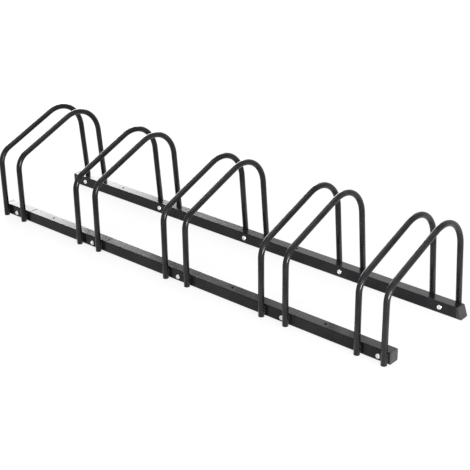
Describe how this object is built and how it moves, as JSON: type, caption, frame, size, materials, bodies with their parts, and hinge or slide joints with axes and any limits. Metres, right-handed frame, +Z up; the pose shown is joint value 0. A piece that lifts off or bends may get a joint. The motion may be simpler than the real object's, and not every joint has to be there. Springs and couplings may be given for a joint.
{
  "type": "floor bike rack",
  "caption": "Low floor rack for parking bicycles: pairs of bent tube hoops grip each wheel, welded to two square rails that plug together from segments.",
  "frame": {"origin": "on the floor, in the middle of the rack's length and depth", "axes": "+X along the rack to the right as seen from the low side of the hoops, +Y from the front rail to the rear rail under the hoops' high side, +Z up"},
  "size_m": [1.322, 0.33, 0.2667],
  "materials": {
    "black_coat": "gloss",
    "zinc": "satin",
    "cap_plastic": "satin"
  },
  "bodies": {
    "root": {"front_bolts": "zinc", "front_joint_sleeve_1": "black_coat", "front_joint_sleeve_2": "black_coat", "front_joint_sleeve_3": "black_coat", "front_joint_sleeve_4": "black_coat", "front_left_cap": "cap_plastic", "front_nuts": "zinc", "front_rail_1": "black_coat", "front_rail_2": "black_coat", "front_rail_3": "black_coat", "front_rail_4": "black_coat", "front_rail_5": "black_coat", "front_right_cap": "cap_plastic", "hoop_1_left": "black_coat", "hoop_1_right": "black_coat", "hoop_2_left": "black_coat", "hoop_2_right": "black_coat", "hoop_3_left": "black_coat", "hoop_3_right": "black_coat", "hoop_4_left": "black_coat", "hoop_4_right": "black_coat", "hoop_5_left": "black_coat", "hoop_5_right": "black_coat", "rear_bolts": "zinc", "rear_joint_sleeve_1": "black_coat", "rear_joint_sleeve_2": "black_coat", "rear_joint_sleeve_3": "black_coat", "rear_joint_sleeve_4": "black_coat", "rear_left_cap": "cap_plastic", "rear_nuts": "zinc", "rear_rail_1": "black_coat", "rear_rail_2": "black_coat", "rear_rail_3": "black_coat", "rear_rail_4": "black_coat", "rear_rail_5": "black_coat", "rear_right_foot_cap": "cap_plastic"}
  },
  "joints": []
}
